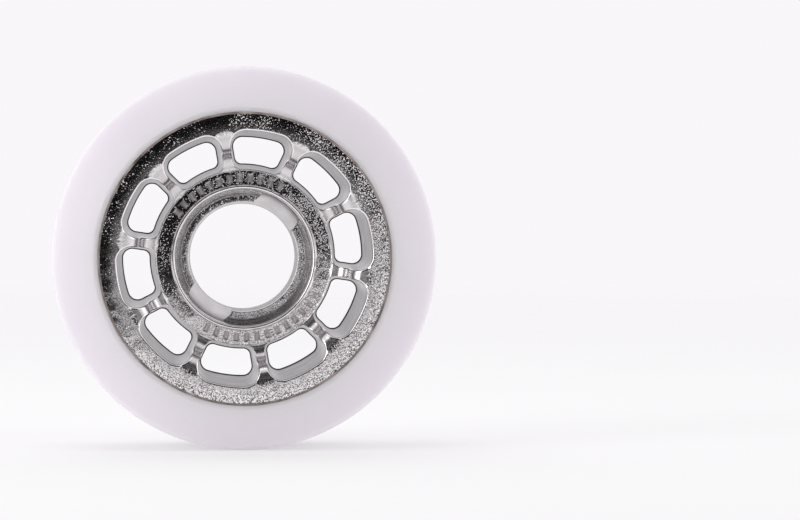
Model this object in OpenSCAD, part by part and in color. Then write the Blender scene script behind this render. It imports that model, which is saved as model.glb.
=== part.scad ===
// Wheel for a quad roller skate: a grooved urethane tyre cast on a spoked, bright-plated hub.
// The wheel turns about the Y axis. Its dished front faces -Y and its boss points to +Y.
// The origin is on the axis, halfway along the wheel. All sizes are in millimetres.

/* [Wheel] */
// Diameter over the tread
tread_d = 61; // [60:0.5:63]
// Width from the front rim to the end of the boss
wheel_w = 34; // [33.5:0.5:35]
// How far the boss stands out of the tyre's back rim
boss_out = 3.4; // [3:0.1:4]

/* [Tyre] */
// Width of the short cone from the front rim to the tread
front_cone_w = 4; // [3:0.25:5]
// Width of the long cone from the tread to the back rim
back_cone_w = 5.3; // [4.5:0.1:6]
// Flat lip of the tyre round the hub at the front
front_lip = 1; // [0.5:0.1:1.5]
// Flat lip of the tyre round the hub at the back
back_lip = 0.4; // [0.3:0.1:1]
// Edge radius between the front cone and the tread
front_edge_r = 1.8; // [1:0.1:2]
// Edge radius between the tread and the back cone
back_edge_r = 2.6; // [2:0.1:3]

/* [Tread groove] */
// Depth of the groove
groove_depth = 2; // [1.5:0.1:2.5]
// Distance of the groove's steep wall from the front rim
groove_inset = 14.4; // [13.5:0.1:15]
// Width of the groove's flat floor
groove_floor_w = 1; // [0.8:0.1:1.5]

/* [Hub] */
// Outer diameter of the hub's barrel
barrel_d = 46; // [45.5:0.5:46.5]
// Wall thickness of the barrel
barrel_wall = 2.8; // [2.4:0.1:3]
// Outer diameter of the centre tube
tube_d = 27.6; // [27:0.1:28]
// Number of windows round the hub
window_count = 10; // [8:1:11]
// Angle of the first window, from +X towards +Z
window_angle = 9.5; // [0:0.5:36]
// Width of a spoke between two windows
spoke_w = 2.2; // [1.8:0.1:2.6]
// Height of the ribs on the barrel that key the tyre
key_height = 1.2; // [0.8:0.1:1.6]

/* [Bearing seats] */
// Diameter of each bearing seat
seat_d = 22; // [21.9:0.1:22.1]
// Length of each bearing seat
seat_len = 7; // [6.5:0.1:7]
// Depth of the front seat's mouth below the front rim
seat_inset = 9.6; // [9.4:0.1:10]
// Narrowest bore of the lip between the two seats
lip_d = 17.2; // [17:0.1:18]

/* [Printing] */
// Height of the printed bars, up the back cone
print_h = 3.4; // [2:0.1:4]
// Gap between the print and the tyre's back rim
print_gap = 1.2; // [0.8:0.1:2]
// Thickness of the ink
print_t = 0.05; // [0.04:0.01:0.1]

/* [Hidden] */
$fn = 96;

// Corners of the outlines are arcs in steps of about this many degrees.
arc_step = 15;

front_y = -wheel_w / 2;
boss_y = wheel_w / 2;
back_y = boss_y - boss_out;
tread_r = tread_d / 2;
barrel_r = barrel_d / 2;
window_r = barrel_r - barrel_wall;
tube_r = tube_d / 2;
seat_r = seat_d / 2;
lip_r = lip_d / 2;

// Tyre: where the tread starts and ends, and the groove's sloped walls.
tread_front_y = front_y + front_cone_w;
tread_back_y = back_y - back_cone_w;
lip_edge_r = 0.3;
groove_front_y = front_y + groove_inset;
groove_steep_w = 0.6;
groove_slope_w = 1.6;
groove_edge_r = 0.35;

// Ribs on the barrel: where each is, and its width.
key_ys = [-10, -1.5, 7];
key_w = 2.4;

// Hub: the lead-in of each seat, the bright rim round the front seat and the ring round that.
lead_in = 0.25;
front_seat_y = front_y + seat_inset;
front_shoulder_y = front_seat_y + lead_in + seat_len;
back_shoulder_y = boss_y - lead_in - seat_len;
seat_rim_w = 0.7;
ring_depth = 0.35;

// Lip: how much wider its bore is at the front than at the back.
lip_draft = 0.3;

// Spokes: their front falls from the barrel to the tube in two arcs, with a steep step between.
step_r = 16.9;
step_top_arc = 2.6;
step_foot_arc = 2.7;
spoke_inset = 0.1;
recess_depth = 3;
recess_y = back_y - recess_depth;
recess_r = window_r - 0.7;
recess_arc = 1.2;

// Windows: the pitch between them, the radius of their inner wall and those of their corners.
window_pitch = 360 / window_count;
window_in_r = tube_r + 0.3;
outer_corner_r = 2.6;
inner_corner_r = 1.5;

// Boss: the narrow step at its end.
boss_step = 0.4;
boss_step_w = 1.2;

// Two ramps across the front shoulder let a drift reach the back bearing.
ramp_angles = [53.5, 233.5];
ramp_start_r = seat_r - 0.1;
ramp_slope = 2.8;
ramp_outer_w = 6.8;
ramp_inner_w = 8;

// Printed blocks on the back cone: [start, end] angles from +X towards +Z.
print_blocks = [[2.6, 7.6], [8.8, 13.2], [14.4, 20], [29, 35.6], [37, 42.6], [44, 50.6]];
print_dot = [24.4, 26.4];
dot_share = 0.3;

// An outline has corners of [x, y, radius], and one with a radius becomes an arc.
function unit(v) = v / norm(v);
function arc_corner(before, at, after, radius) =
    let(
        u = unit(before - at),
        v = unit(after - at),
        half = acos(u * v) / 2,
        centre = at + unit(u + v) * radius / sin(half),
        start = at + u * radius / tan(half) - centre,
        side = u[0] * v[1] - u[1] * v[0] > 0 ? -1 : 1,
        sweep = side * (180 - 2 * half),
        steps = max(2, ceil(abs(sweep) / arc_step))
    )
    [for (i = [0 : steps])
        let(c = cos(sweep * i / steps), s = sin(sweep * i / steps))
        centre + [start[0] * c - start[1] * s, start[0] * s + start[1] * c]];
function xy(p) = [p[0], p[1]];
function rounded(p) =
    let(n = len(p))
    [for (i = [0 : n - 1])
        each p[i][2] > 0
            ? arc_corner(xy(p[(i + n - 1) % n]), xy(p[i]), xy(p[(i + 1) % n]), p[i][2])
            : [xy(p[i])]];

// The barrel's outside from front to back, with its ribs: the tyre's inside is the same line.
barrel_line = [for (y = key_ys)
    each [
        [barrel_r, y - key_w / 2, 0],
        [barrel_r + key_height, y - key_w / 2, 0],
        [barrel_r + key_height, y + key_w / 2, 0],
        [barrel_r, y + key_w / 2, 0]
    ]];
function reversed(list) = [for (i = [len(list) - 1 : -1 : 0]) list[i]];

// Turns an outline of [radius, y] about the wheel's axis, or through part of a turn from +X.
module turned(from = 0, to = 360) {
    rotate([0, -to, 0])
        rotate([-90, 0, 0])
            rotate_extrude(angle = to - from)
                children();
}

// Extrudes an outline of [x, z] along the axis, through the whole wheel.
module through_wheel() {
    translate([0, boss_y + 1, 0])
        rotate([90, 0, 0])
            linear_extrude(wheel_w + 2)
                children();
}

module tyre() {
    color("ghostwhite")
        turned()
            polygon(rounded(concat(
                [
                    [barrel_r, front_y, 0],
                    [barrel_r + front_lip, front_y, lip_edge_r],
                    [tread_r, tread_front_y, front_edge_r],
                    [tread_r, groove_front_y, groove_edge_r],
                    [tread_r - groove_depth, groove_front_y + groove_steep_w, 0],
                    [tread_r - groove_depth, groove_front_y + groove_steep_w + groove_floor_w, 0],
                    [
                        tread_r,
                        groove_front_y + groove_steep_w + groove_floor_w + groove_slope_w,
                        groove_edge_r
                    ],
                    [tread_r, tread_back_y, back_edge_r],
                    [barrel_r + back_lip, back_y, lip_edge_r],
                    [barrel_r, back_y, 0]
                ],
                reversed(barrel_line)
            )));
}

// What rounds a square corner of the section: it fills the corner, or cuts it, as far as an arc in
// the quadrant that x_side and y_side point to.
module corner_arc(at, radius, x_side, y_side) {
    side = [x_side, y_side];
    overlap = 0.4;
    reach = radius + overlap;
    difference() {
        translate(at + side * (reach / 2 - overlap))
            square(reach, center = true);
        translate(at + side * radius)
            circle(r = radius);
    }
}

// Half section of the hub before the windows and the ramps are cut.
module hub_section() {
    difference() {
        union() {
            polygon(concat(
                [[barrel_r, front_y]],
                [for (p = barrel_line) xy(p)],
                [
                    [barrel_r, back_y],
                    [recess_r + 0.3, back_y],
                    [recess_r, back_y - 0.3],
                    [recess_r, recess_y],
                    [tube_r, recess_y],
                    [tube_r, boss_y - boss_step - lead_in],
                    [tube_r - lead_in, boss_y - boss_step],
                    [seat_r + boss_step_w, boss_y - boss_step],
                    [seat_r + boss_step_w, boss_y],
                    [seat_r + lead_in, boss_y],
                    [seat_r, boss_y - lead_in],
                    [seat_r, back_shoulder_y],
                    [lip_r + lead_in, back_shoulder_y],
                    [lip_r, back_shoulder_y - lead_in],
                    [lip_r + lip_draft, front_shoulder_y],
                    [seat_r, front_shoulder_y],
                    [seat_r, front_seat_y + lead_in],
                    [seat_r + lead_in, front_seat_y],
                    [seat_r + seat_rim_w, front_seat_y],
                    [seat_r + seat_rim_w, front_seat_y + ring_depth],
                    [tube_r - 0.2, front_seat_y + ring_depth],
                    [tube_r, front_seat_y],
                    [step_r, front_seat_y],
                    [step_r, front_y + spoke_inset],
                    [step_r + step_top_arc + 0.1, front_y + spoke_inset],
                    [step_r + step_top_arc + 0.2, front_y]
                ]
            ));
            corner_arc([step_r, front_seat_y], step_foot_arc, -1, -1);
            corner_arc([tube_r, recess_y], recess_arc, 1, 1);
            corner_arc([recess_r, recess_y], recess_arc, -1, 1);
        }
        corner_arc([step_r, front_y + spoke_inset], step_top_arc, 1, 1);
    }
}

// The corner of a window beside its upper spoke, cut to a round: level is the corner's radius
// from the axis, and out is 1 at the barrel and -1 at the tube.
module corner_rounding(level, out, radius) {
    along = [cos(window_pitch / 2), sin(window_pitch / 2)];
    across = [-along[1], along[0]];
    off = spoke_w / 2 + radius;
    reach = level - out * radius;
    centre = along * sqrt(reach * reach - off * off) - across * off;
    radial = out * unit(centre);
    difference() {
        polygon([
            centre,
            centre + across * radius * 2,
            centre + (across + radial) * radius * 2,
            centre + radial * radius * 2
        ]);
        translate(centre)
            circle(r = radius);
    }
}

// One window about the X axis, between two spokes with parallel sides.
module window_outline() {
    half = window_pitch / 2;
    apex = spoke_w / 2 / sin(half);
    far = window_r * 1.5;
    difference() {
        intersection() {
            difference() {
                circle(r = window_r);
                circle(r = window_in_r);
            }
            polygon([
                [apex, 0],
                [apex + far * cos(half), far * sin(half)],
                [apex + far * cos(half), -far * sin(half)]
            ]);
        }
        for (side = [0, 1])
            mirror([0, side]) {
                corner_rounding(window_r, 1, outer_corner_r);
                corner_rounding(window_in_r, -1, inner_corner_r);
            }
    }
}

// One ramp: a shallow cone from the seat's wall into the lip's bore, between two flared sides.
module ramp(angle) {
    intersection() {
        turned()
            polygon([
                [ramp_start_r, front_shoulder_y],
                [lip_r - 1, front_shoulder_y + ramp_slope * (ramp_start_r - lip_r + 1)],
                [lip_r - 1, front_shoulder_y - 1],
                [ramp_start_r, front_shoulder_y - 1]
            ]);
        through_wheel()
            rotate(angle)
                polygon([
                    [lip_r - 2, ramp_inner_w / 2],
                    [seat_r + 1, ramp_outer_w / 2],
                    [seat_r + 1, -ramp_outer_w / 2],
                    [lip_r - 2, -ramp_inner_w / 2]
                ]);
    }
}

module hub() {
    color("silver")
        difference() {
            turned()
                hub_section();
            through_wheel()
                for (i = [0 : window_count - 1])
                    rotate(window_angle + i * window_pitch)
                        window_outline();
            for (angle = ramp_angles)
                ramp(angle);
        }
}

// A patch of ink on the back cone, from one angle to the other, over a share of the print's height.
module ink(angles, share) {
    foot = [barrel_r + back_lip, back_y];
    up = unit([tread_r, tread_back_y] - foot);
    out = [up[1] * -1, up[0]];
    low = foot + up * (print_gap + print_h * (1 - share) / 2);
    high = low + up * print_h * share;
    turned(angles[0], angles[1])
        polygon([low, high, high + out * print_t, low + out * print_t]);
}

module print_marks() {
    color("cornflowerblue") {
        for (block = print_blocks)
            ink(block, 1);
        ink(print_dot, dot_share);
    }
}

tyre();
hub();
print_marks();
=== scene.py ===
import math

import bmesh
import bpy
from mathutils import Matrix, Vector


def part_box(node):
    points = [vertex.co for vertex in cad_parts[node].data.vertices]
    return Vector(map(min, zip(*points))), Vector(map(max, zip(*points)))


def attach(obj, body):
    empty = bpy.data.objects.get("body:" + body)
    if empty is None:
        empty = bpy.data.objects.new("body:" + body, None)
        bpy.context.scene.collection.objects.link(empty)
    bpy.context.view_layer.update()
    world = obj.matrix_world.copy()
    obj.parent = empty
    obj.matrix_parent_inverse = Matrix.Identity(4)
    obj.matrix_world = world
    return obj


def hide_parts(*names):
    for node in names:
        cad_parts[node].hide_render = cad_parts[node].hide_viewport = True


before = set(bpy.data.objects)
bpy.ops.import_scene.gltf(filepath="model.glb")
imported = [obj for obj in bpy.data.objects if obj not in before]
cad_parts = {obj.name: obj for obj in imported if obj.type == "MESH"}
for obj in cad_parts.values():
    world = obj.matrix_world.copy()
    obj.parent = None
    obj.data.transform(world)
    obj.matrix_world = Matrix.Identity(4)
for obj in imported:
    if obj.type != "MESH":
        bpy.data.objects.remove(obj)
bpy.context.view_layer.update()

MM = 0.001

# The wheel's main measures, in millimetres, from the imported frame. It turns about Y: the dished
# front is at -Y and the boss is at +Y.
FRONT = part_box("hub")[0].y / MM
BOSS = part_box("hub")[1].y / MM
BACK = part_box("tyre")[1].y / MM
TREAD_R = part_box("tyre")[1].x / MM

# Hub: radii and depths that its section is built on.
BARREL_R = 23.0
SEAT_R = 11.0
LIP_R = 8.6
LIP_DRAFT = 0.3
TUBE_R = 13.95
LEAD_IN = 0.25
SEAT_LENGTH = 7.0
SEAT_Y = FRONT + 9.6
SHOULDER_Y = SEAT_Y + LEAD_IN + SEAT_LENGTH
BACK_SHOULDER_Y = BOSS - LEAD_IN - SEAT_LENGTH
RING_Y = SEAT_Y + 0.35
RECESS_Y = BACK - 3.0

# Tyre: how far each cone runs along the axis, and the groove round the tread.
FRONT_CONE = 4.0
BACK_CONE = 5.3
GROOVE_Y = FRONT + 14.4
GROOVE_R = TREAD_R - 2.0

WINDOWS = 10
WINDOW_ANGLE = 9.5
SECTOR = 360 / WINDOWS


# ---------------------------------------------------------------- outlines and meshes

def arc_corner(before, at, after, radius, step):
    """Points of the arc that rounds the corner at, between the corners before and after."""
    at = Vector(at)
    u = (Vector(before) - at).normalized()
    v = (Vector(after) - at).normalized()
    half = u.angle(v) / 2
    centre = at + (u + v).normalized() * radius / math.sin(half)
    start = at + u * radius / math.tan(half) - centre
    sweep = math.pi - 2 * half
    if u.x * v.y - u.y * v.x > 0:
        sweep = -sweep
    steps = max(2, math.ceil(abs(math.degrees(sweep)) / step))
    return [centre + Matrix.Rotation(sweep * i / steps, 2) @ start for i in range(steps + 1)]


def rounded(corners, step):
    """An open outline whose corners are (x, y), or (x, y, radius) for one that is rounded by an arc
    in steps of about step degrees. Its two ends are never rounded."""
    points = []
    for i, corner in enumerate(corners):
        if len(corner) > 2:
            before, after = corners[i - 1], corners[i + 1]
            points += arc_corner(before[:2], corner[:2], after[:2], corner[2], step)
        else:
            points.append(Vector(corner[:2]))
    return points


def height_at(line, r):
    """The y of a line of (r, y) points, whose r falls, at radius r."""
    for (r1, y1), (r2, y2) in zip(line, line[1:]):
        if r >= r2:
            share = (r1 - r) / (r1 - r2) if r1 > r2 else 1
            return y1 + (y2 - y1) * min(1, max(0, share))
    return line[-1][1]


def place(r, degrees, y):
    """A point in metres from a radius, an angle from +X towards +Z, and a y, in millimetres."""
    a = math.radians(degrees)
    return Vector((r * math.cos(a), y, r * math.sin(a))) * MM


def make_object(name, points, faces, materials, sharp=30, finish=None, slots=None):
    """A closed mesh piece that is smooth except along edges sharper than sharp degrees. finish
    says how grainy and how dull the plating is at each point, and slots each face's material."""
    mesh = bpy.data.meshes.new(name)
    mesh.from_pydata([tuple(p) for p in points], [], faces)
    for i, name_of in enumerate(("grain", "dull") if finish else ()):
        attribute = mesh.attributes.new(name_of, "FLOAT", "POINT")
        attribute.data.foreach_set("value", [f[i] for f in finish])
    for material in materials:
        mesh.materials.append(material)
    if slots:
        mesh.polygons.foreach_set("material_index", slots)
    piece = bpy.data.objects.new(name, mesh)
    bpy.context.scene.collection.objects.link(piece)
    whole = bmesh.new()
    whole.from_mesh(mesh)
    bmesh.ops.remove_doubles(whole, verts=whole.verts, dist=2e-6)
    bmesh.ops.recalc_face_normals(whole, faces=whole.faces)
    whole.to_mesh(mesh)
    whole.free()
    mesh.shade_smooth()
    mesh.set_sharp_from_angle(angle=math.radians(sharp))
    return piece


def lathe(name, outline, segments, material):
    """Turns a closed outline of (radius, y) about the wheel's axis."""
    n = len(outline)
    points, faces = [], []
    for k in range(segments):
        points += [place(r, 360 * k / segments, y) for r, y in outline]
        a, b = k * n, (k + 1) % segments * n
        faces += [(a + i, a + (i + 1) % n, b + (i + 1) % n, b + i) for i in range(n)]
    return make_object(name, points, faces, [material])


# ---------------------------------------------------------------- the hub's windows and spokes

# Where the windows' sectors meet the rings outside and inside them.
SECTOR_OUT_R = 21.0
SECTOR_IN_R = 13.7

# Section of a spoke's front and of its back, as (radius, y) from the rim inwards.
FRONT_LINE = rounded([
    (SECTOR_OUT_R, FRONT),
    (19.75, FRONT, 0.08),
    (19.6, FRONT + 0.15, 0.08),
    (17.65, FRONT + 0.3, 2.4),
    (16.95, FRONT + 1.9, 1.6),
    (16.75, SEAT_Y - 1.7, 1.6),
    (15.95, SEAT_Y - 0.1, 2.2),
    (14.2, SEAT_Y),
    (14.15, SEAT_Y, 0.04),
    (13.95, RING_Y, 0.06),
    (SECTOR_IN_R, RING_Y + 0.1),
], step=6)
BACK_LINE = rounded([
    (SECTOR_OUT_R, BACK),
    (19.9, BACK, 0.2),
    (19.5, RECESS_Y, 1.0),
    (13.9, RECESS_Y, 1.0),
    (SECTOR_IN_R, RECESS_Y + 1.4),
], step=6)

# Contours of a window, front to back: the radii of its outer and inner wall, the width of the
# spoke beside it, and the radii of its outer and inner corners. The small ledge near the back
# carries a near-black band of painted shade round the window.
WINDOW_FRONT = (20.2, 14.2, 1.55, 2.3, 1.5)
LEDGE_Y = BACK - 5.2
LEDGE_BEFORE = (19.73, 15.06, 2.6, 1.65, 1.2)
LEDGE_AFTER = (19.56, 15.22, 2.94, 1.5, 1.1)
WINDOW_BACK = (19.7, 15.1, 2.8, 1.6, 1.2)

# How far the rounded edge of a window reaches, outside and on the side of the centre tube.
EDGE = 0.28
INNER_EDGE = 0.12

# Points along each stretch of half a window's contour, and loops over its face and its edge.
OUT_STEPS = 10
CORNER_STEPS = 14
FLANK_STEPS = 22
IN_STEPS = 7
FACE_ROWS = 5
ROUND_STEPS = 4

# The rim's face is grainy outside this radius.
GRAINY_R = 19.5

# How dull the plating is on the spokes' faces, on the windows' edges and just inside the windows.
FACE_DULL = 0.6
EDGE_DULL = 0.3
INSIDE_DULL = 0.65


def flank_radii(line, high, low):
    """Radii along a side wall, spaced evenly along the spoke's curved section, with their y."""
    part = [p for p in line if low < p[0] < high]
    part = [Vector((high, height_at(line, high)))] + part + [Vector((low, height_at(line, low)))]
    run = [0]
    for p, q in zip(part, part[1:]):
        run.append(run[-1] + (q - p).length)
    spaced = []
    for j in range(1, FLANK_STEPS):
        at = run[-1] * j / FLANK_STEPS
        i = max(k for k in range(len(run) - 1) if run[k] <= at)
        spaced.append(part[i].lerp(part[i + 1], (at - run[i]) / (run[i + 1] - run[i])))
    return spaced


def half_contour(shape, line=None):
    """One half of a window's contour, from the middle of its outer wall to the middle of its inner
    wall, as (u, v, y or None): u runs along the window's middle and v towards its upper spoke."""
    out_r, in_r, spoke, out_corner, in_corner = shape
    half = math.radians(SECTOR / 2)
    along = Vector((math.cos(half), math.sin(half)))
    across = Vector((-math.sin(half), math.cos(half)))

    def corner_centre(reach, radius):
        off = spoke / 2 + radius
        return along * math.sqrt(reach ** 2 - off ** 2) - across * off

    out_centre = corner_centre(out_r - out_corner, out_corner)
    in_centre = corner_centre(in_r + in_corner, in_corner)
    points = []
    out_angle = math.atan2(out_centre.y, out_centre.x)
    for i in range(OUT_STEPS):
        a = out_angle * i / OUT_STEPS
        points.append((out_r * math.cos(a), out_r * math.sin(a), None))
    side_angle = math.pi / 2 + half
    for i in range(CORNER_STEPS):
        a = out_angle + (side_angle - out_angle) * i / CORNER_STEPS
        p = out_centre + Vector((math.cos(a), math.sin(a))) * out_corner
        points.append((p.x, p.y, None))
    top = out_centre + across * out_corner
    foot = in_centre + across * in_corner
    if line:
        radii = flank_radii(line, top.length, foot.length)
        side = [(along * math.sqrt(r ** 2 - (spoke / 2) ** 2) - across * spoke / 2, y)
                for r, y in radii]
    else:
        side = [(top.lerp(foot, j / FLANK_STEPS), None) for j in range(1, FLANK_STEPS)]
    top_y = height_at(line, top.length) if line else None
    points.append((top.x, top.y, top_y))
    points += [(p.x, p.y, y) for p, y in side]
    in_angle = math.atan2(in_centre.y, in_centre.x)
    end_angle = in_angle + math.pi
    for i in range(CORNER_STEPS):
        a = side_angle + (end_angle - side_angle) * i / CORNER_STEPS
        p = in_centre + Vector((math.cos(a), math.sin(a))) * in_corner
        points.append((p.x, p.y, height_at(line, foot.length) if line and i == 0 else None))
    for i in range(IN_STEPS + 1):
        a = in_angle * (1 - i / IN_STEPS)
        points.append((in_r * math.cos(a), in_r * math.sin(a), None))
    return points


def mirrored(half):
    """The whole closed loop from one half of it."""
    return half + [(p[0], -p[1]) + tuple(p[2:]) for p in half[-2:0:-1]]


def half_border(contour):
    """The half sector's own edge, as (radius, degrees), one point for each of the contour's."""
    edge = SECTOR / 2
    turn = CORNER_STEPS // 2
    polar = [(math.hypot(p[0], p[1]), math.degrees(math.atan2(p[1], p[0]))) for p in contour]
    border = []
    side = OUT_STEPS + CORNER_STEPS
    foot = side + FLANK_STEPS
    for i, (r, a) in enumerate(polar):
        if i <= OUT_STEPS:
            border.append((SECTOR_OUT_R, a))
        elif i <= OUT_STEPS + turn:
            a0 = polar[OUT_STEPS][1]
            border.append((SECTOR_OUT_R, a0 + (edge - a0) * (i - OUT_STEPS) / turn))
        elif i < side:
            share = (i - OUT_STEPS - turn) / (CORNER_STEPS - turn)
            border.append((SECTOR_OUT_R + (polar[side][0] - SECTOR_OUT_R) * share, edge))
        elif i <= foot:
            border.append((r, edge))
        elif i <= foot + turn:
            share = (i - foot) / turn
            border.append((polar[foot][0] + (SECTOR_IN_R - polar[foot][0]) * share, edge))
        elif i < foot + CORNER_STEPS:
            a1 = polar[foot + CORNER_STEPS][1]
            share = (i - foot - turn) / (CORNER_STEPS - turn)
            border.append((SECTOR_IN_R, edge + (a1 - edge) * share))
        else:
            border.append((SECTOR_IN_R, a))
    return border


def grain_at(r):
    """How grainy the rim's face is: not at all on the spokes, and most near the tyre."""
    out = r - GRAINY_R
    return 0 if out < 0 else min(0.5, out * 2.5) + 0.5 * min(1, max(0, (out - 1) / 2))


def sector_side(line, shape):
    """Loops of one side of a window's sector, for a surface that faces -y: from the sector's edge
    to the window's edge, round it, and just into the window. A point is (u, v, y, grain, dull)."""
    half = half_contour(shape, line)
    border = half_border(half)
    flank = range(OUT_STEPS + CORNER_STEPS, OUT_STEPS + CORNER_STEPS + FLANK_STEPS + 1)
    surface = [[] for _ in range(FACE_ROWS + 1)]
    edge = [[] for _ in range(ROUND_STEPS + 1)]
    for i, (u, v, y) in enumerate(half):
        r = math.hypot(u, v)
        y = height_at(line, r) if y is None else y
        before, after = half[max(i - 1, 0)], half[min(i + 1, len(half) - 1)]
        along = Vector((after[0] - before[0], after[1] - before[1])).normalized()
        if i in (0, len(half) - 1):
            along = Vector((0, 1 if i == 0 else -1))
        outward = Vector((along.y, -along.x, 0))
        if i in flank and flank[0] < i < flank[-1]:
            fall = Vector((math.hypot(after[0], after[1]) - math.hypot(before[0], before[1]),
                           after[2] - before[2])).normalized()
        else:
            fall = Vector((-0.1, height_at(line, r - 0.05) - height_at(line, r + 0.05))).normalized()
        radial = Vector((u / r, v / r, 0))
        normal = radial * -fall.y + Vector((0, 0, fall.x))
        on_surface = (outward - normal * outward.dot(normal)).normalized()
        into = (-normal + outward * normal.dot(outward)).normalized()
        at = Vector((u, v, y))
        narrow = min(1, max(0, (i - flank[-1] + 3) / 4))
        width = EDGE + (INNER_EDGE - EDGE) * narrow
        start, end = at + on_surface * width, at + into * width
        for k in range(ROUND_STEPS + 1):
            t = k / ROUND_STEPS
            p = start * (1 - t) ** 2 + at * 2 * t * (1 - t) + end * t ** 2
            edge[k].append((p.x, p.y, p.z, 0, INSIDE_DULL if k == ROUND_STEPS else EDGE_DULL))
        start_r = math.hypot(start.x, start.y)
        start_a = math.degrees(math.atan2(start.y, start.x))
        for k in range(FACE_ROWS + 1):
            t = 0.07 if k == FACE_ROWS else 1 - k / FACE_ROWS
            pr = start_r + (border[i][0] - start_r) * t
            pa = math.radians(start_a + (border[i][1] - start_a) * t)
            if i in flank:
                pr = r
            py = y if i in flank else height_at(line, pr)
            grain = grain_at(pr)
            dull = FACE_DULL * (1 - grain)
            surface[k].append((pr * math.cos(pa), pr * math.sin(pa), py, grain, dull))
    return [mirrored(loop) for loop in surface + edge]


def flipped(loops):
    """The same loops for a surface that faces +y."""
    return [[(u, v, -y, *finish) for u, v, y, *finish in loop] for loop in loops]


def between(a, b, steps):
    """The loops that lie between two loops, in equal steps."""
    return [[tuple(p + (q - p) * k / steps for p, q in zip(pa, pb)) for pa, pb in zip(a, b)]
            for k in range(1, steps)]


def flat_loop(shape, y):
    """A window's contour at one height, with the plating of its walls."""
    return mirrored([(u, v, y, 0.2, 1) for u, v, _ in half_contour(shape)])


def sector_loops():
    """All loops of one sector, from the front edge through the window to the back edge."""
    front = sector_side(FRONT_LINE, WINDOW_FRONT)
    back_line = [Vector((r, -y)) for r, y in BACK_LINE]
    back = flipped(sector_side(back_line, WINDOW_BACK))[::-1]
    before = flat_loop(LEDGE_BEFORE, LEDGE_Y - 0.05)
    ledge = flat_loop(LEDGE_AFTER, LEDGE_Y)
    after = flat_loop(LEDGE_AFTER, LEDGE_Y + 0.25)
    loops = front + between(front[-1], before, 6) + [before]
    return loops + [ledge, after] + between(after, back[0], 2) + back


# The barrel's outside, under the tyre. Three ribs key the tyre on it, each of them KEY high and
# KEY wide to either side of its middle.
KEY_MIDDLES = (-10, -1.5, 7)
KEY = 1.2
BARREL_BEVEL = 0.15
BARREL_LINE = [(BARREL_R - BARREL_BEVEL, FRONT), (BARREL_R, FRONT + BARREL_BEVEL)]
for key_y in KEY_MIDDLES:
    low, high = key_y - KEY, key_y + KEY
    BARREL_LINE += [(BARREL_R, low), (BARREL_R + KEY, low),
                    (BARREL_R + KEY, high), (BARREL_R, high)]
BARREL_LINE += [(BARREL_R, BACK - BARREL_BEVEL), (BARREL_R - BARREL_BEVEL, BACK)]


def hub_web(material, window_shade_band):
    """The barrel, the spokes and the windows, with a wall inside the centre tube that closes them."""
    loops = sector_loops()
    n = len(loops[0])
    points, finish, faces, slots = [], [], [], []

    def add(u, v, y, grain, dull, angle):
        a = math.radians(angle)
        points.append(Vector((u * math.cos(a) - v * math.sin(a), y,
                              u * math.sin(a) + v * math.cos(a))) * MM)
        finish.append((grain, dull))
        return len(points) - 1

    def rim(loop, radius):
        """Indices of the loop's points on the sector's edge at this radius, in turning order."""
        on = [i for i, p in enumerate(loop) if abs(math.hypot(p[0], p[1]) - radius) < 1e-4]
        return sorted(on, key=lambda i: math.atan2(loop[i][1], loop[i][0]))

    outer, inner = rim(loops[0], SECTOR_OUT_R), rim(loops[0], SECTOR_IN_R)
    outer_path = [(r, y, grain_at(r)) for r, y in [(22.0, FRONT)] + BARREL_LINE + [(22.0, BACK)]]
    ledge_row = [loop[0][2] for loop in loops].index(LEDGE_Y) - 1
    for window in range(WINDOWS):
        angle = WINDOW_ANGLE + SECTOR * window
        rows = [[add(*p, angle) for p in loop] for loop in loops]
        for k, (a, b) in enumerate(zip(rows, rows[1:])):
            faces += [(a[i], a[(i + 1) % n], b[(i + 1) % n], b[i]) for i in range(n)]
            # The row round the ledge takes the second material, a band of painted shade.
            slots += [1 if k == ledge_row else 0] * n
        for on, path in ((outer, outer_path), (inner, [])):
            columns = []
            for i in on:
                u, v = loops[0][i][0], loops[0][i][1]
                r = math.hypot(u, v)
                column = [add(u * pr / r, v * pr / r, y, grain, 0, angle) for pr, y, grain in path]
                columns.append([rows[0][i]] + column + [rows[-1][i]])
            for c, d in zip(columns, columns[1:]):
                faces += [(c[j], d[j], d[j + 1], c[j + 1]) for j in range(len(c) - 1)]
                slots += [0] * (len(c) - 1)
    return make_object("hub_web", points, faces, [material, window_shade_band], 32, finish, slots)


# ---------------------------------------------------------------- the hub's centre tube

CORE_STEPS = 480

# Radius of the rounded bead round the mouth of the front seat.
BEAD = 0.34

# Two ramps lead from the front seat down through the lip.
RAMP_ANGLES = (53.5, 233.5)
RAMP_HALF_ANGLE = 18.5
RAMP_BLEND = 1.5
RAMP_END_Y = SHOULDER_Y + 5.6

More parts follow.
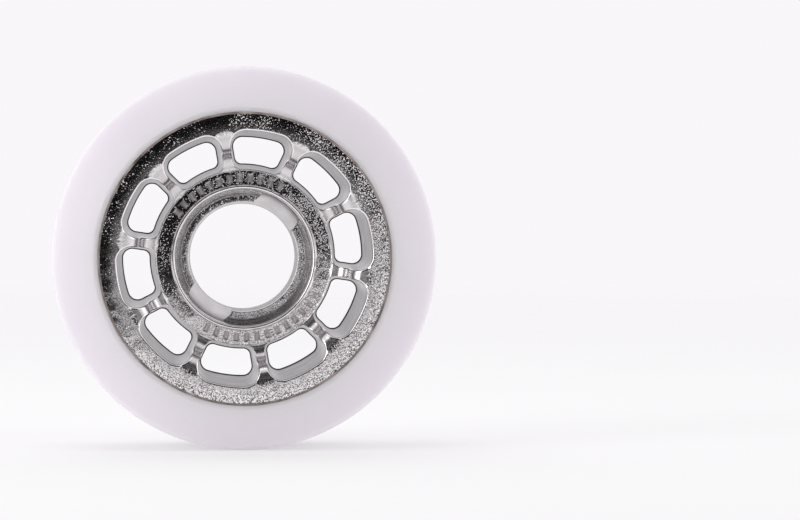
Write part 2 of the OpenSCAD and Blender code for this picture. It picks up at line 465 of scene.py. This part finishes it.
def core_section():
    """Section of the tube from the ring round the front seat, inwards and round to the boss, as
    (radius, y, grain, dullness)."""
    def run(corners, grain, dull):
        return [(p.x, p.y, grain, dull) for p in rounded(corners, step=12)]

    section = run([(TUBE_R, RING_Y + 0.6), (TUBE_R, RING_Y), (12.9, RING_Y), (SEAT_R + 0.8, RING_Y)],
                  0.6, 0)
    section += run([(SEAT_R + 0.74, RING_Y), (SEAT_R + 0.72, SEAT_Y, BEAD),
                    (SEAT_R, SEAT_Y, BEAD), (SEAT_R, SEAT_Y + 0.6)], 0, 0.25)
    section += [(SEAT_R, SEAT_Y + 0.7, 0.3, 0.7), (SEAT_R, SHOULDER_Y - 0.05, 0.3, 0.7)]
    section += run([(SEAT_R, SHOULDER_Y - 0.02), (SEAT_R - 0.1, SHOULDER_Y + 0.3, 0.08),
                    (SEAT_R - 0.65, SHOULDER_Y + 0.3, 0.2), (SEAT_R - 0.8, SHOULDER_Y, 0.08),
                    (SEAT_R - 0.95, SHOULDER_Y)], 0.6, 0.7)
    section += [(SEAT_R - 1.1 - 0.2 * k, SHOULDER_Y, 1, 0.15) for k in range(3)]
    front_r = LIP_R + LIP_DRAFT
    section += run([(front_r + 0.2, SHOULDER_Y), (front_r + 0.02, SHOULDER_Y, 0.12),
                    (front_r - 0.04, SHOULDER_Y + 0.35)], 0.1, 0.4)
    start, end, steps = SHOULDER_Y + 0.6, BACK_SHOULDER_Y - 0.3, 14
    for k in range(steps + 1):
        r = front_r - 0.08 - (LIP_DRAFT - 0.08) * k / steps
        section.append((r, start + (end - start) * k / steps, 1, 0.9))
    section += run([(LIP_R + 0.3, BACK_SHOULDER_Y), (SEAT_R - 0.05, BACK_SHOULDER_Y)], 0.6, 1)
    section += run([(SEAT_R, BACK_SHOULDER_Y + 0.05), (SEAT_R, BOSS - 0.4)], 0.3, 0.7)
    section += run([(SEAT_R, BOSS - LEAD_IN), (SEAT_R + LEAD_IN, BOSS)], 0, 0.5)
    section += run([(SEAT_R + 0.35, BOSS), (12.1, BOSS, 0.15), (12.2, BOSS - 0.4, 0.05),
                    (12.4, BOSS - 0.4)], 0.2, 0.5)
    section += run([(12.5, BOSS - 0.4), (TUBE_R, BOSS - 0.4, 0.3), (TUBE_R, BOSS - 1.0)], 0.7, 0.2)
    section += [(TUBE_R, BOSS - 1.6, 1, 0), (TUBE_R, RECESS_Y, 1, 0)]
    return section


def ramped(r, y, grain, dull, degrees):
    """The section's point at this angle, moved onto a ramp where there is one."""
    for middle in RAMP_ANGLES:
        off = abs((degrees - middle + 180) % 360 - 180)
        half_width = RAMP_HALF_ANGLE + (SEAT_R - r) * 3
        weight = min(1, max(0, (half_width + 0.5 - off) / RAMP_BLEND))
        inside = r < SEAT_R - 0.01 and SHOULDER_Y - 0.01 < y < RAMP_END_Y
        if weight > 0 and inside:
            depth = (SEAT_R - r) + (y - SHOULDER_Y)
            share = depth / (SEAT_R - LIP_R + RAMP_END_Y - SHOULDER_Y)
            ramp_r = SEAT_R - (SEAT_R - LIP_R) * share ** 0.8
            ramp_y = SHOULDER_Y + (RAMP_END_Y - SHOULDER_Y) * share
            weight = weight * weight * (3 - 2 * weight)
            r, y = r + (ramp_r - r) * weight, y + (ramp_y - y) * weight
            grain, dull = grain * (1 - weight), dull + (0.7 - dull) * weight
    return r, y, grain, dull


def hub_core(material):
    """The centre tube: both bearing seats, the lip between them with its two ramps, and the boss."""
    section = core_section()
    n = len(section)
    points, finish, faces = [], [], []
    for k in range(CORE_STEPS):
        degrees = 360 * k / CORE_STEPS
        for corner in section:
            r, y, grain, dull = ramped(*corner, degrees)
            points.append(place(r, degrees, y))
            finish.append((grain, dull))
        a, b = k * n, (k + 1) % CORE_STEPS * n
        faces += [(a + i, a + (i + 1) % n, b + (i + 1) % n, b + i) for i in range(n)]
    return make_object("hub_core", points, faces, [material], 32, finish)


# ---------------------------------------------------------------- raised marks and print

def polar_block(r0, r1, a0, a1, low, high, slope, steps):
    """A raised block that follows a ring: its top is smaller than its foot by slope all round."""
    points, faces = [], []
    for k in range(steps + 1):
        t = k / steps
        for r_in, r_out, y, inset in ((r0, r1, low, 0), (r0 + slope, r1 - slope, high, slope)):
            turn = math.degrees(inset / r_out)
            a = a0 + turn + (a1 - a0 - 2 * turn) * t
            points += [place(r_in, a, y), place(r_out, a, y)]
    for k in range(steps):
        i, j = 4 * k, 4 * (k + 1)
        faces += [(i, j, j + 1, i + 1), (i + 2, i + 3, j + 3, j + 2),
                  (i, i + 2, j + 2, j), (i + 1, j + 1, j + 3, i + 3)]
    end = 4 * steps
    faces += [(0, 1, 3, 2), (end, end + 2, end + 3, end + 1)]
    return points, faces


def joined(parts):
    """One list of points and one of faces from several."""
    points, faces = [], []
    for p, f in parts:
        faces += [tuple(len(points) + i for i in face) for face in f]
        points += p
    return points, faces


# The raised bars on the ring round the front seat: two arcs of them, as (first angle, count).
MARK_ARCS = [(63, 12), (-118, 13)]
MARK_SPACING = 7.5
MARK_HALF_ANGLE = 2.1
MARK_IN_R = 12.05
MARK_OUT_R = 13.5
MARK_HEIGHT = 0.32
MARK_SLOPE = 0.36


def ring_marks(material):
    """Equal raised bars on the ring round the front seat, in two arcs."""
    low, high = RING_Y + 0.02, RING_Y - MARK_HEIGHT
    parts = []
    for start, count in MARK_ARCS:
        for i in range(count):
            a = start + MARK_SPACING * i
            parts.append(polar_block(MARK_IN_R, MARK_OUT_R, a - MARK_HALF_ANGLE, a + MARK_HALF_ANGLE,
                                     low, high, MARK_SLOPE, 6))
    points, faces = joined(parts)
    return make_object("hub_marks", points, faces, [material], finish=[(0.2, 0.7)] * len(points))


# The back cone, where the print is: its foot, the way up it and the way out of it. The print's
# low and high edges are distances up the cone, and its groups and dot are spans of angle.
CONE_FOOT = Vector((BARREL_R + 0.4, BACK))
CONE_UP = (Vector((TREAD_R, BACK - BACK_CONE)) - CONE_FOOT).normalized()
CONE_OUT = Vector((-CONE_UP.y, CONE_UP.x))
PRINT_LOW = 1.2
PRINT_HIGH = 4.6
PRINT_LEAN = -1.3
PRINT_GROUPS = [(2.6, 7.6), (8.8, 13.2), (14.4, 20), (29, 35.6), (37, 42.6), (44, 50.6)]
DOT_SPAN = (24.4, 26.2)
DOT_HALF_HEIGHT = 0.45


INK_THICKNESS = 0.05


def ink_bar(a0, a1, low, high):
    """A bar of ink on the cone between two heights, which leans as the print does."""
    points, faces = [], []
    rows, columns = 4, 5
    for layer in (0.0, INK_THICKNESS):
        for i in range(rows + 1):
            up = low + (high - low) * i / rows
            foot = CONE_FOOT + CONE_UP * up + CONE_OUT * layer
            for j in range(columns + 1):
                lean = PRINT_LEAN * (up - PRINT_LOW) / (PRINT_HIGH - PRINT_LOW)
                a = a0 + (a1 - a0) * j / columns + lean
                points.append(place(foot.x, a, foot.y))
    wide = columns + 1
    layer = (rows + 1) * wide
    for i in range(rows):
        for j in range(columns):
            k = i * wide + j
            face = (k, k + 1, k + wide + 1, k + wide)
            faces += [face, tuple(p + layer for p in face)]
    rim = list(range(columns))
    rim += [i * wide + columns for i in range(rows)]
    rim += [rows * wide + j for j in range(columns, 0, -1)]
    rim += [i * wide for i in range(rows, 0, -1)]
    faces += [(p, q, q + layer, p + layer) for p, q in zip(rim, rim[1:] + rim[:1])]
    return points, faces


def printed_bars(material):
    """Groups of three slanted bars and a dot, where the wheel's hardness and diameter are printed."""
    middle = (PRINT_LOW + PRINT_HIGH) / 2
    parts = []
    for a0, a1 in PRINT_GROUPS:
        wide = (a1 - a0) / 5
        for k in (0, 2, 4):
            parts.append(ink_bar(a0 + wide * k, a0 + wide * (k + 1), PRINT_LOW, PRINT_HIGH))
    parts.append(ink_bar(*DOT_SPAN, middle - DOT_HALF_HEIGHT, middle + DOT_HALF_HEIGHT))
    points, faces = joined(parts)
    return make_object("printed_bars", points, faces, [material])


# ---------------------------------------------------------------- the tyre

def tyre_outline():
    """Section of the tyre, round from its front rim over the tread and back along the barrel."""
    outside = rounded([
        (BARREL_R + 0.16, FRONT + 0.5),
        (BARREL_R + 0.2, FRONT + 0.02, 0.12),
        (BARREL_R + 1.0, FRONT, 0.45),
        (TREAD_R, FRONT + FRONT_CONE, 1.8),
        (TREAD_R, GROOVE_Y, 0.35),
        (GROOVE_R, GROOVE_Y + 0.6, 0.3),
        (GROOVE_R, GROOVE_Y + 1.6, 0.3),
        (TREAD_R, GROOVE_Y + 3.2, 0.35),
        (TREAD_R, BACK - BACK_CONE, 2.6),
        (BARREL_R + 0.4, BACK, 0.3),
        (BARREL_R + 0.02, BACK),
    ], step=5)
    inside = [(r + 0.02, y) for r, y in BARREL_LINE[-2:0:-1]]
    return [tuple(p) for p in outside] + inside


def bond_outline():
    """Section of the thin line of cast bond that shows between the tyre and the hub."""
    return [(BARREL_R - 0.08, FRONT - 0.02), (BARREL_R + 0.13, FRONT - 0.02),
            (BARREL_R + 0.24, FRONT + 0.08), (BARREL_R + 0.2, FRONT + 0.9),
            (BARREL_R - 0.12, FRONT + 0.9), (BARREL_R - 0.12, FRONT + 0.02)]


# ---------------------------------------------------------------- materials

def new_material(name):
    material = bpy.data.materials.new(name)
    material.use_nodes = True
    return material, material.node_tree.nodes, material.node_tree.links


def noise(nodes, links, scale, detail):
    """Noise in the piece's own coordinates, scale being how many features fit in a metre."""
    where = nodes.new("ShaderNodeTexCoord")
    texture = nodes.new("ShaderNodeTexNoise")
    texture.inputs["Scale"].default_value = scale
    texture.inputs["Detail"].default_value = detail
    links.new(where.outputs["Object"], texture.inputs["Vector"])
    return texture.outputs["Fac"]


def spread(nodes, links, value, low, high, from_low=0.3, from_high=0.7):
    """The value, spread over a range."""
    node = nodes.new("ShaderNodeMapRange")
    for key, number in (("From Min", from_low), ("From Max", from_high),
                        ("To Min", low), ("To Max", high)):
        node.inputs[key].default_value = number
    links.new(value, node.inputs["Value"])
    return node.outputs["Result"]


def ramp_colours(nodes, links, value, dark, light, low=0.3, high=0.7):
    node = nodes.new("ShaderNodeValToRGB")
    node.color_ramp.elements[0].position = low
    node.color_ramp.elements[0].color = (*dark, 1)
    node.color_ramp.elements[1].position = high
    node.color_ramp.elements[1].color = (*light, 1)
    links.new(value, node.inputs["Fac"])
    return node.outputs["Color"]


def times(nodes, links, a, b):
    node = nodes.new("ShaderNodeMath")
    node.operation = "MULTIPLY"
    for value, socket in ((a, node.inputs[0]), (b, node.inputs[1])):
        if isinstance(value, (int, float)):
            socket.default_value = value
        else:
            links.new(value, socket)
    return node.outputs["Value"]


def plus(nodes, links, a, b):
    node = nodes.new("ShaderNodeMath")
    node.operation = "ADD"
    links.new(a, node.inputs[0])
    links.new(b, node.inputs[1])
    return node.outputs["Value"]


def bump(nodes, links, height, distance, below=None):
    node = nodes.new("ShaderNodeBump")
    node.inputs["Distance"].default_value = distance
    links.new(height, node.inputs["Height"])
    if below:
        links.new(below, node.inputs["Normal"])
    return node.outputs["Normal"]


def plating():
    """Bright plating over moulded plastic: grainy and dull where the mould was, with painted shade
    darkening the pits of its grain.
    """
    material, nodes, links = new_material("bright_plating")
    shader = nodes["Principled BSDF"]
    shader.inputs["Metallic"].default_value = 1.0
    grain, dull = nodes.new("ShaderNodeAttribute"), nodes.new("ShaderNodeAttribute")
    grain.attribute_name, dull.attribute_name = "grain", "dull"
    fine = noise(nodes, links, 4000, detail=1.0)
    patches = noise(nodes, links, 320, detail=3.0)
    soft = noise(nodes, links, 260, detail=2.0)
    where, lean = nodes.new("ShaderNodeTexCoord"), nodes.new("ShaderNodeVectorMath")
    lean.operation = "DOT_PRODUCT"
    lean.inputs[1].default_value = (0.8, 0, -0.6)
    links.new(where.outputs["Object"], lean.inputs[0])
    side = spread(nodes, links, lean.outputs["Value"], 0.0, 0.2, -0.016, 0.02)
    mixed = plus(nodes, links, plus(nodes, links, fine, times(nodes, links, patches, 0.45)), side)
    specks = spread(nodes, links, mixed, 0.0, 1.0, 0.88, 1.03)
    height = times(nodes, links, specks, grain.outputs["Fac"])
    links.new(bump(nodes, links, height, 0.00005, below=bump(nodes, links, soft, 0.00003)),
              shader.inputs["Normal"])
    tint = ramp_colours(nodes, links, soft, (0.8, 0.77, 0.78), (0.9, 0.87, 0.88))
    shade = nodes.new("ShaderNodeMix")
    shade.data_type = "RGBA"
    links.new(ramp_colours(nodes, links, patches, (0.3, 0.29, 0.295), (0.6, 0.585, 0.59)),
              shade.inputs["B"])
    links.new(tint, shade.inputs["A"])
    links.new(spread(nodes, links, dull.outputs["Fac"], 0.0, 1.0, 0.4, 1.0), shade.inputs["Factor"])
    # Painted shade: near-black specks in the base colour over the grainy plating, standing in for
    # shadow in the grain's pits.
    pit_shadowed = nodes.new("ShaderNodeMix")
    pit_shadowed.data_type = "RGBA"
    pit_shadowed.inputs["B"].default_value = (0.07, 0.065, 0.065, 1)
    pit_shadow = spread(nodes, links, noise(nodes, links, 5800, detail=1.0), 0.0, 0.97, 0.5, 0.58)
    links.new(times(nodes, links, pit_shadow, grain.outputs["Fac"]), pit_shadowed.inputs["Factor"])
    links.new(shade.outputs["Result"], pit_shadowed.inputs["A"])
    links.new(pit_shadowed.outputs["Result"], shader.inputs["Base Color"])
    links.new(spread(nodes, links, dull.outputs["Fac"], 0.06, 0.4, 0.0, 1.0),
              shader.inputs["Roughness"])
    return material


def urethane():
    """White cast urethane with a satin skin."""
    material, nodes, links = new_material("white_urethane")
    shader = nodes["Principled BSDF"]
    cloud = noise(nodes, links, 60, detail=3.0)
    skin = noise(nodes, links, 3000, detail=2.0)
    links.new(ramp_colours(nodes, links, cloud, (0.828, 0.784, 0.842), (0.853, 0.809, 0.867)),
              shader.inputs["Base Color"])
    links.new(spread(nodes, links, cloud, 0.42, 0.5), shader.inputs["Roughness"])
    shader.inputs["IOR"].default_value = 1.45
    shader.inputs["Specular IOR Level"].default_value = 0.35
    shader.inputs["Subsurface Weight"].default_value = 0.8
    shader.inputs["Subsurface Radius"].default_value = (1.0, 0.9, 1.0)
    shader.inputs["Subsurface Scale"].default_value = 0.004
    links.new(bump(nodes, links, skin, 0.000012), shader.inputs["Normal"])
    return material


def window_shade_band():
    """A near-black band of painted shade round the back of each window, on its small ledge."""
    material, nodes, links = new_material("painted_window_shade")
    shader = nodes["Principled BSDF"]
    patches = noise(nodes, links, 1200, detail=3.0)
    links.new(ramp_colours(nodes, links, patches, (0.01, 0.01, 0.01), (0.07, 0.065, 0.06)),
              shader.inputs["Base Color"])
    shader.inputs["Roughness"].default_value = 0.4
    links.new(bump(nodes, links, patches, 0.00004), shader.inputs["Normal"])
    return material


def bond():
    """The line where the cast urethane meets the plating, stained a warm grey."""
    material, nodes, links = new_material("bond_line")
    shader = nodes["Principled BSDF"]
    patches = noise(nodes, links, 500, detail=4.0)
    links.new(ramp_colours(nodes, links, patches, (0.1, 0.075, 0.068), (0.4, 0.34, 0.32)),
              shader.inputs["Base Color"])
    shader.inputs["Roughness"].default_value = 0.6
    links.new(bump(nodes, links, patches, 0.00008), shader.inputs["Normal"])
    return material


def ink():
    """Blue pad-printing ink, a little uneven in its cover."""
    material, nodes, links = new_material("blue_ink")
    shader = nodes["Principled BSDF"]
    cover = noise(nodes, links, 1500, detail=3.0)
    links.new(ramp_colours(nodes, links, cover, (0.09, 0.16, 0.62), (0.16, 0.26, 0.72)),
              shader.inputs["Base Color"])
    shader.inputs["Roughness"].default_value = 0.5
    links.new(bump(nodes, links, cover, 0.00002), shader.inputs["Normal"])
    return material


chrome = plating()
pieces = [
    (hub_web(chrome, window_shade_band()), "hub", "plated_hub"),
    (hub_core(chrome), "hub", "plated_hub"),
    (ring_marks(chrome), "hub", "plated_hub"),
    (lathe("tyre_cast", tyre_outline(), 360, urethane()), "tyre", "tyre"),
    (lathe("bond_line", bond_outline(), 360, bond()), "tyre", "tyre"),
    (printed_bars(ink()), "print_marks", "print_ink"),
]
for piece, node, material_slot in pieces:
    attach(piece, "root")
    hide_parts(node)


# ---------------------------------------------------------------- floor, light and camera

def card(name, corners, shade, glow=0.0):
    """A flat card of the studio, from its corners in millimetres."""
    mesh = bpy.data.meshes.new(name)
    mesh.from_pydata([tuple(Vector(c) * MM) for c in corners], [], [tuple(range(len(corners)))])
    material, nodes, links = new_material(name)
    shader = nodes["Principled BSDF"]
    shader.inputs["Base Color"].default_value = (shade, shade, shade, 1)
    shader.inputs["Roughness"].default_value = 0.9
    shader.inputs["Specular IOR Level"].default_value = 0.0
    if glow:
        shader.inputs["Emission Color"].default_value = (1, 1, 1, 1)
        shader.inputs["Emission Strength"].default_value = glow
    mesh.materials.append(material)
    piece = bpy.data.objects.new(name, mesh)
    bpy.context.scene.collection.objects.link(piece)
    return piece


def aim(piece, location, target):
    piece.location = Vector(location) * MM
    piece.rotation_euler = (Vector(target) * MM - piece.location).to_track_quat("-Z", "Y").to_euler()
    bpy.context.scene.collection.objects.link(piece)
    return piece


def soft_light(name, location, size, watts):
    """A rectangular area light that faces the middle of the wheel."""
    light = bpy.data.lights.new(name, "AREA")
    light.shape = "RECTANGLE"
    light.size, light.size_y = size[0] * MM, size[1] * MM
    light.energy = watts
    return aim(bpy.data.objects.new(name, light), location, (0, 0, 0))


FLOOR_Z = -TREAD_R
FLOOR_HALF = 1500
floor_sides = [(-1, -1), (1, -1), (1, 1), (-1, 1)]
floor_corners = [(x * FLOOR_HALF, y * FLOOR_HALF, FLOOR_Z) for x, y in floor_sides]
floor = card("floor", floor_corners, 0.6, glow=0.35)

# The floor fades into the background, so that no horizon shows.
nodes, links = floor.data.materials[0].node_tree.nodes, floor.data.materials[0].node_tree.links
where, length = nodes.new("ShaderNodeTexCoord"), nodes.new("ShaderNodeVectorMath")
length.operation = "LENGTH"
links.new(where.outputs["Object"], length.inputs[0])
clear, fading = nodes.new("ShaderNodeBsdfTransparent"), nodes.new("ShaderNodeMixShader")
links.new(spread(nodes, links, length.outputs["Value"], 0.0, 1.0, 0.25, 1.1), fading.inputs["Fac"])
links.new(nodes["Principled BSDF"].outputs["BSDF"], fading.inputs[1])
links.new(clear.outputs["BSDF"], fading.inputs[2])
links.new(fading.outputs["Shader"], nodes["Material Output"].inputs["Surface"])

# A dark card behind the camera: the plating mirrors it, above and left of a slanting edge.
CARD_Y = -717
CARD_BEFORE = 700
CARD_AFTER = 450
CARD_UP = 900
edge_a, edge_b = Vector((-27, -39)), Vector((57, -14))
edge_way = (edge_b - edge_a).normalized()
edge_up = Vector((-edge_way.y, edge_way.x))
middle = (edge_a + edge_b) / 2
left_end, right_end = middle - edge_way * CARD_BEFORE, middle + edge_way * CARD_AFTER
card_points = [left_end, right_end, right_end + edge_up * CARD_UP, left_end + edge_up * CARD_UP]
dark_card = card("dark_card", [(p.x, CARD_Y, p.y) for p in card_points], 0.012)
dark_card.visible_camera = False

world = bpy.data.worlds.new("studio")
bpy.context.scene.world = world
world.use_nodes = True
world_nodes, world_links = world.node_tree.nodes, world.node_tree.links
way = world_nodes.new("ShaderNodeTexCoord")
parts = world_nodes.new("ShaderNodeSeparateXYZ")
world_links.new(way.outputs["Generated"], parts.inputs["Vector"])
fade = spread(world_nodes, world_links, parts.outputs["Y"], 0.0, 1.0, -0.75, 0.15)
tone = ramp_colours(world_nodes, world_links, fade, (0.86, 0.84, 0.85), (0.945, 0.925, 0.95), 0.0, 1.0)
background = world_nodes["Background"]
world_links.new(tone, background.inputs["Color"])
background.inputs["Strength"].default_value = 1.0

soft_light("top_box", (-120, 60, 520), (400, 400), 0.42)
soft_light("left_box", (-450, -300, 120), (300, 400), 1.0)
soft_light("right_box", (520, -200, 150), (300, 400), 0.35)

scene = bpy.context.scene
scene.view_settings.view_transform = "Standard"

# The camera aims right of the wheel's middle, so the wheel stands left of the picture's middle.
CAMERA_AT = (-10.7, -613, 10.8)
CAMERA_TARGET = (25.47, 0, -0.53)

lens = bpy.data.cameras.new("camera")
lens.lens = 170
lens.sensor_width = 36
lens.clip_start = 0.01
camera = aim(bpy.data.objects.new("camera", lens), CAMERA_AT, CAMERA_TARGET)
scene.camera = camera
